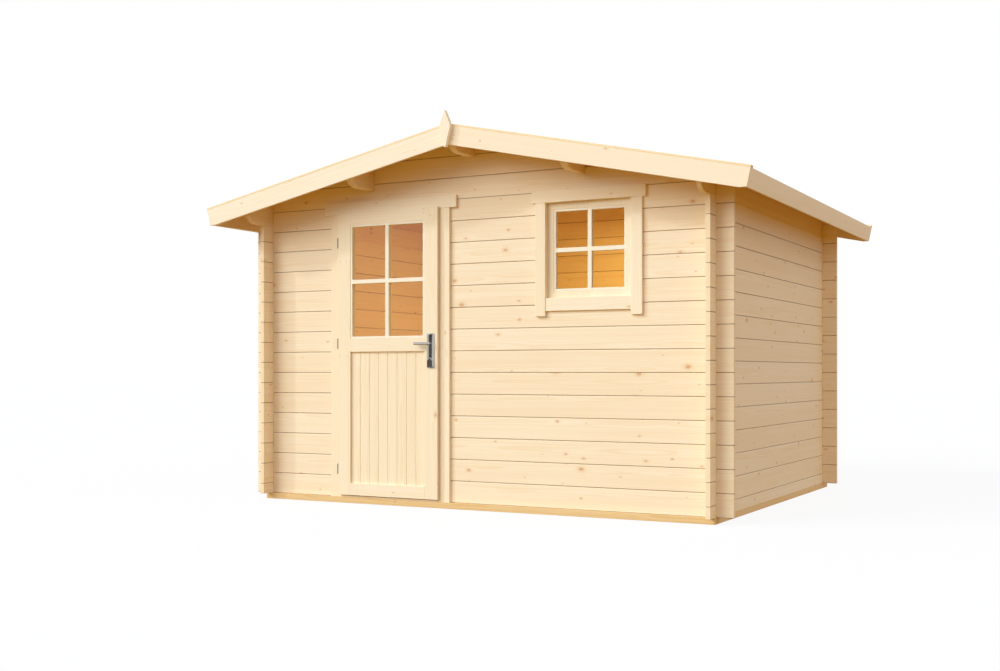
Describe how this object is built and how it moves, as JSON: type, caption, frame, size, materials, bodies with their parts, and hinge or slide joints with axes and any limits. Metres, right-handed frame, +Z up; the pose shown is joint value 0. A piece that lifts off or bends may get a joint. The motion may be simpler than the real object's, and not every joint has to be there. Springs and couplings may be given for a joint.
{
  "type": "wooden garden shed",
  "caption": "Garden shed of interlocking planed logs with a low gable roof, a part-glazed hinged door and a small fixed window in the front gable wall.",
  "frame": {"origin": "centre of the footprint of the whole shed, roof overhangs included, at the underside of the sills", "axes": "+X to the right along the front gable wall, +Y to the back, +Z up; the door and the window face -Y"},
  "size_m": [3.579, 3.036, 2.3216],
  "materials": {
    "log_timber": "planed, untreated spruce logs",
    "sill_timber": "sawn beam",
    "floor_timber": "planed boards",
    "roof_timber": "planed tongued boards",
    "trim_timber": "planed boards",
    "joinery_timber": "planed and sanded",
    "hinge_steel": "zinc plated",
    "handle_metal": "satin",
    "window_glass": "clear"
  },
  "bodies": {
    "shed": {"end_sills": "sill_timber", "side_sills": "sill_timber", "floor_joists": "sill_timber", "floor_boards": "floor_timber", "front_wall_left": "log_timber", "front_wall_right": "log_timber", "front_wall_middle": "log_timber", "front_wall_corner": "log_timber", "front_gable": "log_timber", "rear_wall": "log_timber", "rear_gable": "log_timber", "left_wall": "log_timber", "right_wall": "log_timber", "ridge_purlin": "log_timber", "mid_purlins": "log_timber", "wall_purlins": "log_timber", "roof_boards_left": "roof_timber", "roof_boards_right": "roof_timber", "barge_boards_left": "trim_timber", "barge_boards_right": "trim_timber", "eaves_fascias": "trim_timber", "verge_strips_left": "trim_timber", "verge_strips_right": "trim_timber", "finial_boards": "trim_timber", "door_jambs": "joinery_timber", "door_head": "joinery_timber", "door_threshold": "joinery_timber", "hinge_pins": "hinge_steel", "window_frame": "joinery_timber", "window_sash": "joinery_timber", "window_glass": "window_glass", "window_bars": "joinery_timber", "window_head_casing": "joinery_timber", "window_side_casings": "joinery_timber", "window_bottom_board": "joinery_timber"},
    "door": {"door_stiles": "joinery_timber", "door_rails": "joinery_timber", "door_panel": "joinery_timber", "door_glass": "window_glass", "door_bars": "joinery_timber", "hinge_barrels": "hinge_steel", "handle_plates": "handle_metal"},
    "lever": {"door_lever": "handle_metal"}
  },
  "joints": [
    {"name": "door_swing", "type": "hinge", "parent": "shed", "child": "door", "pos_m": [-0.945, -1.2325, 0.9], "axis": [0, 0, -1], "range_deg": [0, 110]},
    {"name": "lever_turn", "type": "hinge", "parent": "door", "child": "lever", "pos_m": [-0.26, -1.221, 0.992], "axis": [0, -1, 0], "range_deg": [0, 40], "stiffness_Nm_per_rad": 1.5, "springref_deg": -22.92}
  ]
}
